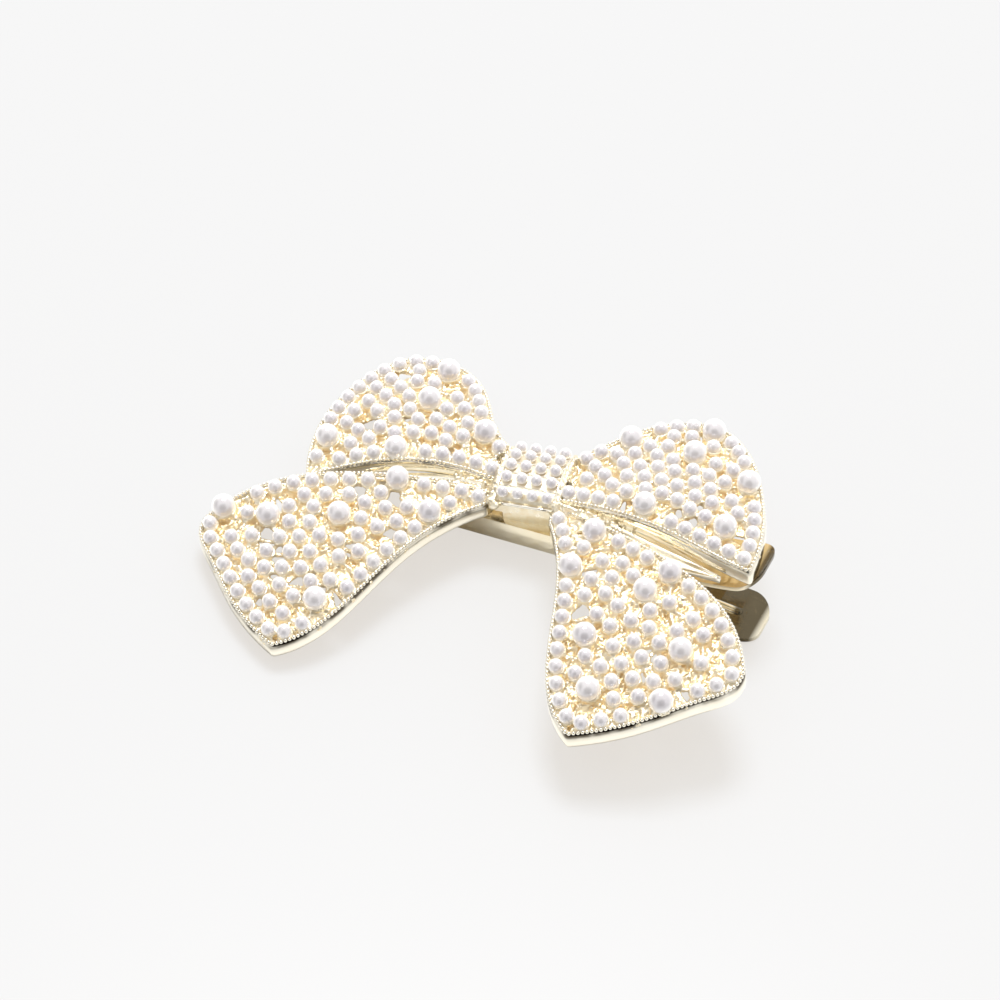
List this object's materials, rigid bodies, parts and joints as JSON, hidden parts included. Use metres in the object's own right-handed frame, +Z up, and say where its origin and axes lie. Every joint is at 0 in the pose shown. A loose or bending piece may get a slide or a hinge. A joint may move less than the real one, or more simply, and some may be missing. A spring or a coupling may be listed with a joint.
{
  "type": "pearl bow hair clip",
  "caption": "Openwork metal bow set with imitation pearls on a sprung hair clip with toothed jaws and thumb pads.",
  "frame": {"origin": "centre of the footprint on the table, with the clip lying on its jaw tip and lower thumb pad", "axes": "+X along the clip towards the thumb pads, +Y towards the bow's loops, +Z up, out of the bow's face"},
  "size_m": [0.0982, 0.069, 0.0222],
  "materials": {
    "gilt_casting": "polished pale champagne-gold plating over a rough openwork casting",
    "gilt_steel": "pale gold plated spring steel, bright",
    "steel": "bright drawn wire",
    "pearl": "pearlescent white lacquer"
  },
  "bodies": {
    "lower_half": {"lower_jaw": "gilt_steel", "torsion_spring": "steel"},
    "upper_half": {"knot_band": "gilt_casting", "knot_pearls": "pearl", "left_loop": "gilt_casting", "left_loop_small_pearls": "pearl", "left_loop_large_pearls": "pearl", "left_tail": "gilt_casting", "left_tail_small_pearls": "pearl", "left_tail_large_pearls": "pearl", "right_loop": "gilt_casting", "right_loop_small_pearls": "pearl", "right_loop_large_pearls": "pearl", "right_tail": "gilt_casting", "right_tail_small_pearls": "pearl", "right_tail_large_pearls": "pearl", "upper_jaw": "gilt_steel", "hinge_pin": "steel"}
  },
  "joints": [
    {"name": "clip_hinge", "type": "hinge", "parent": "lower_half", "child": "upper_half", "pos_m": [0.01656, 0.00984, 0.00693], "axis": [0, 1, 0], "range_deg": [0, 24], "stiffness_Nm_per_rad": 0.03, "springref_deg": -34.38, "deforming": ["torsion_spring"]}
  ]
}
